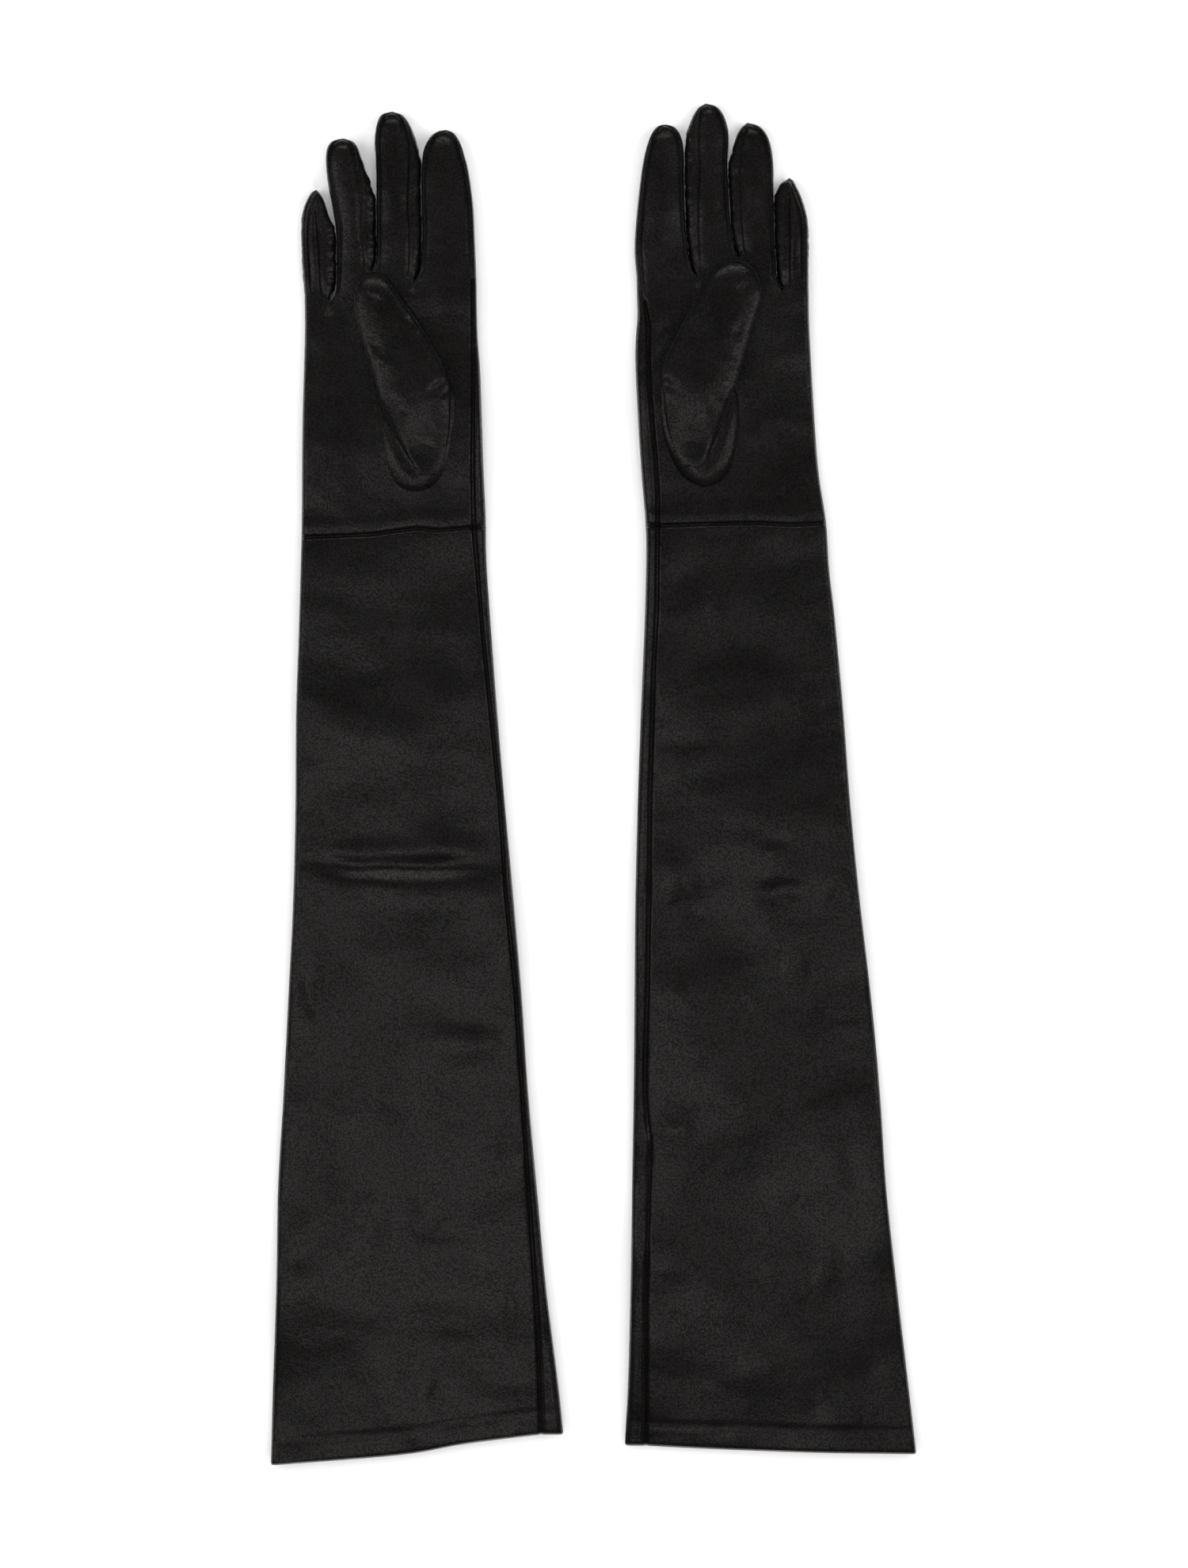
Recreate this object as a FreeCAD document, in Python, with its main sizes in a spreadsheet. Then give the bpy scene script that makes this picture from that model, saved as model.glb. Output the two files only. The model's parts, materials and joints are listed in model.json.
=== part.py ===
"""A pair of long leather opera gloves, lying flat with the palms up and the fingers along +Y.

The origin is the middle of the pair on the surface it lies on. The right-hand glove is at -X and
the left-hand glove at +X. Each glove is a chain of flat sleeves: upper arm, forearm, hand, four
fingers and a thumb that lies over the palm. A sleeve is a leather wall round a hollow, with a
thinner lining inside it.
"""
import FreeCAD, Part
import math
import os

import Sketcher

# ---------------------------------------------------------------- driving dimensions (mm, degrees)

SHARED = {
    "leather": 0.7,             # glove leather
    "lining": 0.3,              # lining cloth
    "seam_room": 0.95,          # between leather and lining in the arm and hand, for the allowances
    "close_room": 0.15,         # between leather and lining in the fingers and thumb
    "gap": 0.3,                 # between two sleeves that hinge on each other
    "arm_depth": 9.0,
    "hand_depth": 9.5,
    "finger_depth": 11.0,
    "thumb_depth": 7.5,
    "round_share": 0.42,        # radius of a sleeve's long edges, as a share of its depth
    "hem_width": 12.0,
    "allowance_width": 4.0,
    "allowance_inset": 6.0,     # side seam's distance from the thumb-side edge
    "thread_width": 0.5,
    "thread_inset": 2.0,        # hem thread's distance from the facing's edge
    "index_width": 28.6,
    "middle_width": 21.0,
    "ring_width": 18.0,
    "little_width": 15.0,
    "index_tip_radius": 9.2,
    "middle_tip_radius": 9.2,
    "ring_tip_radius": 8.3,
    "little_tip_radius": 6.4,
    "thumb_width": 35.0,
    "thumb_tip_radius": 12.5,
    "thumb_reach": 61.0,        # from the thumb's base to the centre of its round tip
    "thumb_lean": 17.9,         # from +Y, towards the little finger
    "pouch_reach": 17.5,        # from the thumb's base down to the centre of the round pouch
    "pouch_shift": 4.0,         # of that centre, towards the little finger
    "pouch_radius": 18.5,
    "thumb_hole_radius": 12.0,
    "fourchette_base": 6.6,     # height of a fourchette at the crotch
    "fourchette_tip": 0.8,      # and at its pointed end
}

# Places. x0 is the little-finger side and x1 the thumb side.
RIGHT = {
    "hem_x0": -162.7, "hem_y0": -343.0, "hem_x1": -15.2, "hem_y1": -326.6,
    "fold_x0": -151.3, "fold_x1": -41.2, "fold_y": -48.0,
    "wrist_x0": -147.2, "wrist_x1": -54.8, "wrist_y": 127.0,
    "knuckle_x0": -146.2, "knuckle_x1": -59.3,
    "little_base_y": 246.0, "finger_base_y": 257.0,
    "index_base_x": -74.0, "index_tip_x": -74.4, "index_tip_y": 320.0,
    "middle_base_x": -100.2, "middle_tip_x": -99.8, "middle_tip_y": 329.6,
    "ring_base_x": -120.9, "ring_tip_x": -124.8, "ring_tip_y": 317.0,
    "little_base_x": -138.7, "little_tip_x": -139.6, "little_tip_y": 293.4,
    "thumb_x": -88.6, "thumb_y": 186.0,
}
LEFT = {
    "hem_x0": 163.2, "hem_y0": -337.4, "hem_x1": 16.4, "hem_y1": -331.4,
    "fold_x0": 133.6, "fold_x1": 21.6, "fold_y": -48.0,
    "wrist_x0": 117.6, "wrist_x1": 26.4, "wrist_y": 130.5,
    "knuckle_x0": 108.6, "knuckle_x1": 21.5,
    "little_base_y": 251.0, "finger_base_y": 265.0,
    "index_base_x": 35.8, "index_tip_x": 35.0, "index_tip_y": 322.4,
    "middle_base_x": 61.7, "middle_tip_x": 59.8, "middle_tip_y": 333.8,
    "ring_base_x": 82.3, "ring_tip_x": 81.0, "ring_tip_y": 325.0,
    "little_base_x": 100.7, "little_tip_x": 98.6, "little_tip_y": 299.8,
    "thumb_x": 53.0, "thumb_y": 190.0,
}
GLOVES = {"right": RIGHT, "left": LEFT}
LITTLE_SIDE = {"right": -1, "left": 1}  # the way from the thumb side to the little-finger side in x

# The sides of each finger that face another finger, where a fourchette is let in.
FOURCHETTE_SIDES = {"index": ("little",), "middle": ("thumb", "little"),
                    "ring": ("thumb", "little"), "little": ("thumb",)}

doc = FreeCAD.newDocument("opera_gloves")
sheet = doc.addObject("Spreadsheet::Sheet", "Sizes")
values = dict(SHARED)
for hand_name, places in GLOVES.items():
    values.update({f"{hand_name}_{key}": number for key, number in places.items()})
for row, (alias, number) in enumerate(values.items(), 1):
    sheet.set(f"A{row}", alias)
    sheet.set(f"B{row}", str(number))
    sheet.setAlias(f"B{row}", alias)
doc.recompute()

nodes = {}


# ---------------------------------------------------------------- expressions and sketches

def read(expression):
    """The number that an expression over the sheet's aliases comes to."""
    return float(sheet.evalExpression(expression))


def bound(expression):
    """The same expression as another object writes it, with the sheet's name before each alias."""
    words, out = expression.replace("(", "( ").replace(")", " )").split(), []
    for word in words:
        sign = "-" if word.startswith("-") and word[1:] in values else ""
        name = word[len(sign):]
        out.append(f"{sign}Sizes.{name}" if name in values else word)
    return " ".join(out)


def new_sketch(body, name, height="0"):
    """An empty sketch on the body's own XY plane, lifted to a height."""
    sketch = body.newObject("Sketcher::SketchObject", name)
    plane = [f for f in body.Origin.OriginFeatures if f.Role == "XY_Plane"][0]
    sketch.AttachmentSupport = (plane, [""])
    sketch.MapMode = "FlatFace"
    sketch.setExpression("AttachmentOffset.Base.z", bound(height))
    return sketch


def hold(sketch, kind, expression, *where):
    """A dimension that follows an expression over the sheet."""
    index = sketch.addConstraint(Sketcher.Constraint(kind, *where, read(expression)))
    sketch.setExpression(f"Constraints[{index}]", bound(expression))


def hold_point(sketch, line, end, point):
    hold(sketch, "DistanceX", point[0], -1, 1, line, end)
    hold(sketch, "DistanceY", point[1], -1, 1, line, end)


def polygon(sketch, points):
    """A closed outline through points given as pairs of expressions."""
    places = [FreeCAD.Vector(read(x), read(y), 0) for x, y in points]
    lines = []
    for start, end in zip(places, places[1:] + places[:1]):
        lines.append(sketch.addGeometry(Part.LineSegment(start, end)))
    for line, after in zip(lines, lines[1:] + lines[:1]):
        sketch.addConstraint(Sketcher.Constraint("Coincident", line, 2, after, 1))
    for line, point in zip(lines, points):
        hold_point(sketch, line, 1, point)


def round_ended(sketch, corner_a, corner_b, centre, radius):
    """A straight base, two sides and a round end that the sides run into."""
    a, b, c = (FreeCAD.Vector(read(x), read(y), 0) for x, y in (corner_a, corner_b, centre))
    size = read(radius)
    across = (b - a).normalize() * size
    base = sketch.addGeometry(Part.LineSegment(a, b))
    side_b = sketch.addGeometry(Part.LineSegment(b, c + across))
    beyond = c + (c - (a + b) * 0.5).normalize() * size
    end = sketch.addGeometry(Part.Arc(c + across, beyond, c - across))
    side_a = sketch.addGeometry(Part.LineSegment(c - across, a))
    # An arc is stored anticlockwise, so its first point is on side b only when the base runs that way.
    first, second = (1, 2) if (b - a).cross(c - a).z > 0 else (2, 1)
    sketch.addConstraint([
        Sketcher.Constraint("Coincident", base, 2, side_b, 1),
        Sketcher.Constraint("Tangent", side_b, 2, end, first),
        Sketcher.Constraint("Tangent", end, second, side_a, 1),
        Sketcher.Constraint("Coincident", side_a, 2, base, 1),
    ])
    hold_point(sketch, base, 1, corner_a)
    hold_point(sketch, base, 2, corner_b)
    hold_point(sketch, end, 3, centre)
    hold(sketch, "Radius", radius, end)


# ---------------------------------------------------------------- solids

def on_line(vertex, line):
    """Whether a vertex lies in the upright plane over a line in the XY plane."""
    (ax, ay), (bx, by) = line
    off = (bx - ax) * (vertex.Y - ay) - (by - ay) * (vertex.X - ax)
    return abs(off) / math.hypot(bx - ax, by - ay) < 1e-4


def open_faces(shape, lines):
    """The upright end faces over the given lines, where a sleeve is open."""
    return [f"Face{n}" for n, face in enumerate(shape.Faces, 1)
            if any(all(on_line(v, line) for v in face.Vertexes) for line in lines)]


def long_edges(shape, heights, lines):
    """The level edges at the given heights that don't lie on an open end."""
    found = []
    for n, edge in enumerate(shape.Edges, 1):
        level = any(all(abs(v.Z - z) < 1e-4 for v in edge.Vertexes) for z in heights)
        at_end = any(all(on_line(v, line) for v in edge.Vertexes) for line in lines)
        if level and not at_end:
            found.append(f"Edge{n}")
    return found


def pad(body, sketch, depth):
    feature = body.newObject("PartDesign::Pad", "Pad")
    feature.Profile = sketch
    feature.setExpression("Length", bound(depth))
    doc.recompute()
    return feature


def soften(body, feature, edges, radius):
    fillet = body.newObject("PartDesign::Fillet", "LongEdges")
    fillet.Base = (feature, edges)
    fillet.setExpression("Radius", bound(radius))
    doc.recompute()
    return fillet


def hollow(body, feature, faces, wall):
    shell = body.newObject("PartDesign::Thickness", "Wall")
    shell.Base = (feature, faces)
    shell.Reversed = True
    shell.Join = "Intersection"
    shell.setExpression("Value", bound(wall))
    doc.recompute()
    return shell


def sleeve(label, outline, ends, depth, wall, inset="0"):
    """A flat hollow sleeve: outline draws its sketch, and it is open over the lines in ends.

    inset is how far the sleeve lies inside the outer skin, and depth is the outer skin's.
    """
    body = doc.addObject("PartDesign::Body", label)
    sketch = new_sketch(body, "Outline", inset)
    outline(sketch)
    own_depth = f"{depth} - 2 * ( {inset} )"
    block = pad(body, sketch, own_depth)
    lines = [tuple((read(x), read(y)) for x, y in end) for end in ends]
    heights = (read(inset), read(f"{depth} - ( {inset} )"))
    rounded = soften(body, block, long_edges(block.Shape, heights, lines),
                     f"round_share * {depth} - ( {inset} )")
    hollow(body, rounded, open_faces(rounded.Shape, lines), wall)
    return body


def keep(label, shape_object):
    """Names a finished sub-part, which is written to a file of that name."""
    shape_object.Label = label
    nodes[label] = shape_object


# ---------------------------------------------------------------- one glove

def edge_x(hand, side, low, high, height):
    """Where the arm's edge lies between two of its corners, at a height above the lower one."""
    x_low, x_high = f"{hand}_{low}_x{side}", f"{hand}_{high}_x{side}"
    y_low = f"{hand}_{low}_y{side}" if low == "hem" else f"{hand}_{low}_y"
    y_high = f"{hand}_{high}_y"
    return f"{x_low} + ( {x_high} - {x_low} ) * ( {height} ) / ( {y_high} - {y_low} )"


def arm_corners(hand, part, lower="0", upper="0", inset="0"):
    """The four corners of a stretch of arm, cut short by lower and upper and set in by inset."""
    low, high = {"upper_arm": ("hem", "fold"), "forearm": ("fold", "wrist")}[part]
    corners = []
    for side, reverse in ((0, False), (1, True)):
        inward = "-" if (side == 0) == (hand == "left") else "+"
        y_low = f"{hand}_{low}_y{side}" if low == "hem" else f"{hand}_{low}_y"
        whole = f"{hand}_{high}_y - {y_low}"
        ends = [(edge_x(hand, side, low, high, lower), f"{y_low} + {lower}"),
                (edge_x(hand, side, low, high, f"{whole} - ( {upper} )"),
                 f"{hand}_{high}_y - ( {upper} )")]
        ends = [(f"{x} {inward} ( {inset} )", y) for x, y in ends]
        corners += ends[::-1] if reverse else ends
    return corners


def arm_band(label, hand, part, wall, lower="0", upper="0", inset="0"):
    """A stretch of arm sleeve that is open at both ends."""
    corners = arm_corners(hand, part, lower, upper, inset)
    ends = [(corners[0], corners[3]), (corners[1], corners[2])]
    body = sleeve(label, lambda sketch: polygon(sketch, corners), ends, "arm_depth", wall, inset)
    keep(label, body)


def strip(label, corners, height, thickness):
    """A flat strip of leather or thread lying at a height."""
    body = doc.addObject("PartDesign::Body", label)
    sketch = new_sketch(body, "Outline", height)
    polygon(sketch, corners)
    pad(body, sketch, thickness)
    keep(label, body)


def arm(hand):
    inner = "leather + seam_room"
    half_gap = "gap / 2"
    arm_band(f"{hand}_forearm_panel", hand, "forearm", "leather", half_gap, half_gap)
    arm_band(f"{hand}_forearm_lining", hand, "forearm", "lining", half_gap, half_gap, inner)
    arm_band(f"{hand}_upper_arm_panel", hand, "upper_arm", "leather", "0", half_gap)
    arm_band(f"{hand}_upper_arm_lining", hand, "upper_arm", "lining", "hem_width", half_gap, inner)
    facing = arm_corners(hand, "upper_arm", "0", "0", "leather")
    facing_top = arm_corners(hand, "upper_arm", "hem_width", "0", "leather")
    facing = [facing[0], facing_top[0], facing_top[3], facing[3]]
    ends = [(facing[0], facing[3]), (facing[1], facing[2])]
    keep(f"{hand}_hem_facing", sleeve(f"{hand}_hem_facing", lambda sketch: polygon(sketch, facing),
                                      ends, "arm_depth", "leather", "leather"))
    to_fold = f"{hand}_wrist_y - {hand}_fold_y - allowance_width"
    arm_band(f"{hand}_wrist_seam_allowance", hand, "forearm", "leather", to_fold, half_gap,
             "leather")
    thread(hand)
    side_allowances(hand)


def thread(hand):
    """The line of thread that holds the hem, along the palm side, just below the facing's edge."""
    across = arm_corners(hand, "upper_arm", "hem_width - thread_inset", "0",
                         "round_share * arm_depth")
    above = arm_corners(hand, "upper_arm", "hem_width - thread_inset + thread_width", "0",
                        "round_share * arm_depth")
    strip(f"{hand}_hem_thread", [across[0], above[0], above[3], across[3]], "arm_depth",
          "thread_width / 2")


def side_allowances(hand):
    """The side seam's turned-in edges, under the palm-side leather, in three lengths."""
    inward = "-" if hand == "right" else "+"
    half_gap = "gap / 2"

    def shifted(point, extra):
        return (f"{point[0]} {inward} ( {extra} )", point[1])

    def lay(label, low, high, depth):
        corners = [shifted(low, "allowance_inset"), shifted(high, "allowance_inset"),
                   shifted(high, "allowance_inset + allowance_width"),
                   shifted(low, "allowance_inset + allowance_width")]
        strip(label, corners, f"{depth} - 2 * leather", "leather")

    forearm = arm_corners(hand, "forearm", half_gap, "allowance_width")
    upper = arm_corners(hand, "upper_arm", "hem_width", half_gap)
    lay(f"{hand}_forearm_seam_allowance", forearm[3], forearm[2], "arm_depth")
    lay(f"{hand}_upper_arm_seam_allowance", upper[3], upper[2], "arm_depth")
    low = (f"{hand}_wrist_x1", f"{hand}_wrist_y + gap / 2")
    high = (f"{hand}_knuckle_x1", f"{hand}_finger_base_y - gap / 2")
    lay(f"{hand}_hand_seam_allowance", low, high, "hand_depth")


def hand_corners(hand, inset):
    """The hand's outline: the wrist, then the little finger's step and the other fingers' line."""
    side = "-" if hand == "left" else "+"
    away = "+" if hand == "left" else "-"
    low = f"{hand}_wrist_y + gap / 2"
    little = f"{hand}_little_base_y - gap / 2"
    fingers = f"{hand}_finger_base_y - gap / 2"
    step = f"{hand}_ring_base_x {away} ring_width / 2 {side} ( {inset} )"
    return [(f"{hand}_wrist_x0 {side} ( {inset} )", low),
            (f"{hand}_knuckle_x0 {side} ( {inset} )", little), (step, little), (step, fingers),
            (f"{hand}_knuckle_x1 {away} ( {inset} )", fingers),
            (f"{hand}_wrist_x1 {away} ( {inset} )", low)]


def hand_block(label, hand, inset):
    """A solid the shape of the hand, set in by inset."""
    body = doc.addObject("PartDesign::Body", label)
    sketch = new_sketch(body, "Outline", inset)
    corners = hand_corners(hand, inset)
    polygon(sketch, corners)
    block = pad(body, sketch, f"hand_depth - 2 * ( {inset} )")
    sharp = [tuple((read(x), read(y)) for x, y in (corners[a], corners[b]))
             for a, b in ((5, 0), (1, 2), (2, 3), (3, 4))]
    heights = (read(inset), read(f"hand_depth - ( {inset} )"))
    soften(body, block, long_edges(block.Shape, heights, sharp),
           f"round_share * hand_depth - ( {inset} )")
    return body


def hand_sleeve(label, hand, wall, inset="0"):
    """The palm and back: open at the wrist, at the fingers and at the thumb's hole."""
    outer = hand_block(f"{label}_outside", hand, inset)
    inner = hand_block(f"{label}_inside", hand, f"{inset} + {wall}")
    hollow_hand = boolean("Cut", f"{label}_hollow", outer, inner)
    hole = doc.addObject("Part::Cylinder", f"{label}_thumb_hole")
    x, y = pouch_centre(hand)
    hole.setExpression("Radius", bound("thumb_hole_radius"))
    hole.setExpression("Height", bound("hand_depth"))
    hole.setExpression("Placement.Base.x", bound(x))
    hole.setExpression("Placement.Base.y", bound(y))
    hole.setExpression("Placement.Base.z", bound("hand_depth / 2"))
    keep(label, boolean("Cut", label, hollow_hand, hole))


def pouch_centre(hand):
    """The middle of the thumb's pouch, seen from above."""
    away = "-" if hand == "right" else "+"
    x = (f"{hand}_thumb_x {away} pouch_shift * cos( thumb_lean ) "
         f"{'+' if hand == 'right' else '-'} pouch_reach * sin( thumb_lean )")
    y = f"{hand}_thumb_y - pouch_reach * cos( thumb_lean ) - pouch_shift * sin( thumb_lean )"
    return x, y


def finger_outline(hand, finger, inset):
    """Draws one finger: its base at the knuckles, and its round tip."""
    base_y = f"{hand}_little_base_y" if finger == "little" else f"{hand}_finger_base_y"
    base_y = f"{base_y} + gap / 2"
    half = f"{finger}_width / 2 - ( {inset} )"
    corner_a = (f"{hand}_{finger}_base_x - ( {half} )", base_y)
    corner_b = (f"{hand}_{finger}_base_x + ( {half} )", base_y)
    centre = (f"{hand}_{finger}_tip_x", f"{hand}_{finger}_tip_y")
    radius = f"{finger}_tip_radius - ( {inset} )"
    return (corner_a, corner_b), lambda sketch: round_ended(sketch, corner_a, corner_b, centre,
                                                            radius)


def fourchette_wedge(hand, finger, side):
    """A tapering block over one side of a finger, as tall as the fourchette let in there."""
    sign = LITTLE_SIDE[hand] * (1 if side == "little" else -1)
    base_y = f"{hand}_little_base_y" if finger == "little" else f"{hand}_finger_base_y"
    wedge = doc.addObject("Part::Wedge", f"{hand}_{finger}_{side}_wedge")
    middle = f"{hand}_{finger}_tip_x"
    beyond = f"{middle} {'+' if sign > 0 else '-'} {finger}_width"
    low, high = (middle, beyond) if sign > 0 else (beyond, middle)
    rows = {"Ymin": f"{base_y} - 1", "Ymax": f"{hand}_{finger}_tip_y"}
    for end, size in (("", "fourchette_base"), ("2", "fourchette_tip")):
        rows[f"X{end}min"], rows[f"X{end}max"] = low, high
        rows[f"Z{end}min"] = f"finger_depth / 2 - {size} / 2"
        rows[f"Z{end}max"] = f"finger_depth / 2 + {size} / 2"
    for name, expression in rows.items():
        setattr(wedge, name, read(expression))
    for name, expression in rows.items():
        wedge.setExpression(name, bound(expression))
    return wedge


def boolean(kind, name, base, tool):
    result = doc.addObject(f"Part::{kind}", name)
    result.Base = base
    result.Tool = tool
    doc.recompute()
    return result


def finger(hand, name):
    """A finger's leather, its one or two fourchettes and its lining."""
    end, outline = finger_outline(hand, name, "0")
    skin = sleeve(f"{hand}_{name}_skin", outline, [end], "finger_depth", "leather")
    rest = skin
    for side in FOURCHETTE_SIDES[name]:
        wedge = fourchette_wedge(hand, name, side)
        label = f"{hand}_{name}_fourchette_{side}_side"
        keep(label, boolean("Common", label, skin, wedge))
        rest = boolean("Cut", f"{hand}_{name}_without_{side}", rest, wedge)
    keep(f"{hand}_{name}_finger", rest)
    inner = "leather + close_room"
    end, outline = finger_outline(hand, name, inner)
    keep(f"{hand}_{name}_lining", sleeve(f"{hand}_{name}_lining", outline, [end],
                                         "finger_depth", "lining", inner))


def place_thumb(body, hand, height):
    """Lays a thumb piece over the palm, leaning towards the little finger."""
    body.setExpression("Placement.Base.x", bound(f"{hand}_thumb_x"))
    body.setExpression("Placement.Base.y", bound(f"{hand}_thumb_y"))
    body.setExpression("Placement.Base.z", bound(height))
    body.Placement.Rotation = FreeCAD.Rotation(FreeCAD.Vector(0, 0, 1), 0)
    body.setExpression("Placement.Rotation.Angle",
                       bound("thumb_lean" if hand == "right" else "-thumb_lean"))


def thumb(hand):
    """The thumb lying over the palm, and the pouch that joins it to the hole in the palm."""
    for part, wall, inset in (("thumb", "leather", "0"),
                              ("thumb_lining", "lining", "leather + close_room")):
        half = f"thumb_width / 2 - ( {inset} )"
        ends = ((f"0 - ( {half} )", "gap / 2"), (half, "gap / 2"))
        centre = ("0", "thumb_reach")
        radius = f"thumb_tip_radius - ( {inset} )"
        body = sleeve(f"{hand}_{part}",
                      lambda sketch: round_ended(sketch, *ends, centre, radius),
                      [ends], "thumb_depth", wall, inset)
        place_thumb(body, hand, "hand_depth + gap")
        keep(f"{hand}_{part}", body)
    pouch(hand)


def pouch(hand):
    """The round base of the thumb, open towards the thumb and down to the palm's hole."""
    label = f"{hand}_thumb_base"
    body = doc.addObject("PartDesign::Body", label)
    sketch = new_sketch(body, "Outline")
    ends = (("thumb_width / 2", "0 - gap / 2"), ("0 - thumb_width / 2", "0 - gap / 2"))
    shift = "0 - pouch_shift" if hand == "right" else "pouch_shift"
    round_ended(sketch, *ends, (shift, "0 - pouch_reach"), "pouch_radius")
    block = pad(body, sketch, "thumb_depth")
    line = tuple((read(x), read(y)) for x, y in ends)
    top = read("thumb_depth")
    rounded = soften(body, block, long_edges(block.Shape, (top,), [line]),
                     "round_share * thumb_depth")
    below = [f"Face{n}" for n, face in enumerate(rounded.Shape.Faces, 1)
             if all(abs(v.Z) < 1e-4 for v in face.Vertexes)]
    hollow(body, rounded, open_faces(rounded.Shape, [line]) + below, "leather")
    place_thumb(body, hand, "hand_depth")
    keep(label, body)


def glove(hand):
    arm(hand)
    hand_sleeve(f"{hand}_hand_shell", hand, "leather")
    hand_sleeve(f"{hand}_hand_lining", hand, "lining", "leather + seam_room")
    for name in FOURCHETTE_SIDES:
        finger(hand, name)
    thumb(hand)


# ---------------------------------------------------------------- build, check and write

for hand_name in GLOVES:
    glove(hand_name)
doc.recompute()

for thing in doc.Objects:
    if {"Invalid", "Error"} & set(thing.State):
        raise RuntimeError(f"{thing.Label} did not build: {thing.State}")
for label, thing in nodes.items():
    if thing.Shape.isNull() or not thing.Shape.isValid():
        raise RuntimeError(f"{label} has no valid shape")

os.makedirs("parts", exist_ok=True)
for label, thing in nodes.items():
    thing.Shape.exportStep(f"parts/{label}.step")
    box = thing.Shape.optimalBoundingBox()
    print(f"{label:38s} {len(thing.Shape.Solids)} solid(s) {thing.Shape.Volume:9.0f} mm3  "
          f"x {box.XMin:.1f}..{box.XMax:.1f}  y {box.YMin:.1f}..{box.YMax:.1f}  "
          f"z {box.ZMin:.2f}..{box.ZMax:.2f}")
print(f"{len(nodes)} sub-parts")
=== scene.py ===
import json
import math

import bpy
import numpy as np
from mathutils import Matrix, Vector, noise


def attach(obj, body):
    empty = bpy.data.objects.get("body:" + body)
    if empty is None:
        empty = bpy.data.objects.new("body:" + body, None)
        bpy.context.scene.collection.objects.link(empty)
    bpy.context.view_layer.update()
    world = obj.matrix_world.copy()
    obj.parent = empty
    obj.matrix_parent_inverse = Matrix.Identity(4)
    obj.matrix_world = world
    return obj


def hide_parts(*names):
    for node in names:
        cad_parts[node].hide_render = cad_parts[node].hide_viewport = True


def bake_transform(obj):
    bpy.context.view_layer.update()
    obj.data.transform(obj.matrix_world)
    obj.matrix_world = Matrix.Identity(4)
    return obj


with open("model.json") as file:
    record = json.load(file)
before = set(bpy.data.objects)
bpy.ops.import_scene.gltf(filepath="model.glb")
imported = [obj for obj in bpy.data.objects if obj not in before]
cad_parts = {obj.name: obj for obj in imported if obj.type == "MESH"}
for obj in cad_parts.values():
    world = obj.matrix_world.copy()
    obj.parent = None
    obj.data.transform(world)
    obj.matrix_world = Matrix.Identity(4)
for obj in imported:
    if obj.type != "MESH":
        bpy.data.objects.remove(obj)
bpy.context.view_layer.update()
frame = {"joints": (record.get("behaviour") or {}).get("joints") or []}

MM = 0.001

# All lengths below are millimetres. Each glove is drawn with its thumb side towards +u:
# u is x for the right glove and -x for the left one.
FOLD_ROUND = 2.5        # the little-finger side is one fold of leather, this round
ROLL_ROUND = 3.2        # the thumb side rolls over beyond its seam
FLOOR_GAP = 0.25
ARM_TOP = 6.6
WRIST_TOP = 7.0
PALM_TOP = 7.6
FINGER_EDGE = 7.8
FINGER_CROWN = 1.5
TIP_EDGE = 5.6
TIP_FLOOR = 1.5
CROTCH_DIP = 1.0
FOLD_SPREAD = 2.3       # folds are this many times as wide, and this share as high, as their lines say
FOLD_HEIGHT = 0.85
THUMB_FOLD_SPREAD = 1.2
# height, size across, size up and place in the noise of each wave of the leather
BODY_WAVES = ((3.2, 80, 62, 3), (1.0, 36, 27, 0), (0.20, 18, 9, 7), (0.07, 7, 3.2, 13))
THUMB_WAVES = ((0.28, 15, 17, 31), (0.10, 6, 5, 37))
POUCH_FOOT = 7.0
POUCH_RISE = 4.2
WALL_STEPS = 14
SKIN = 1.2              # leather plus the room inside it
SEAM_STEPS = (0.0, 0.4, 0.8, 1.2, 1.7, 2.4)
SEAM_RIDGE = 0.55
SEAM_GROOVE = 0.8
GAP_SHARE_A = 0.13      # how much of the room between two fingers each one's side piece fills
GAP_SHARE_B = 0.86
FINGER_ROWS = 84
ORDER = ("little", "ring", "middle", "index")

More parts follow.
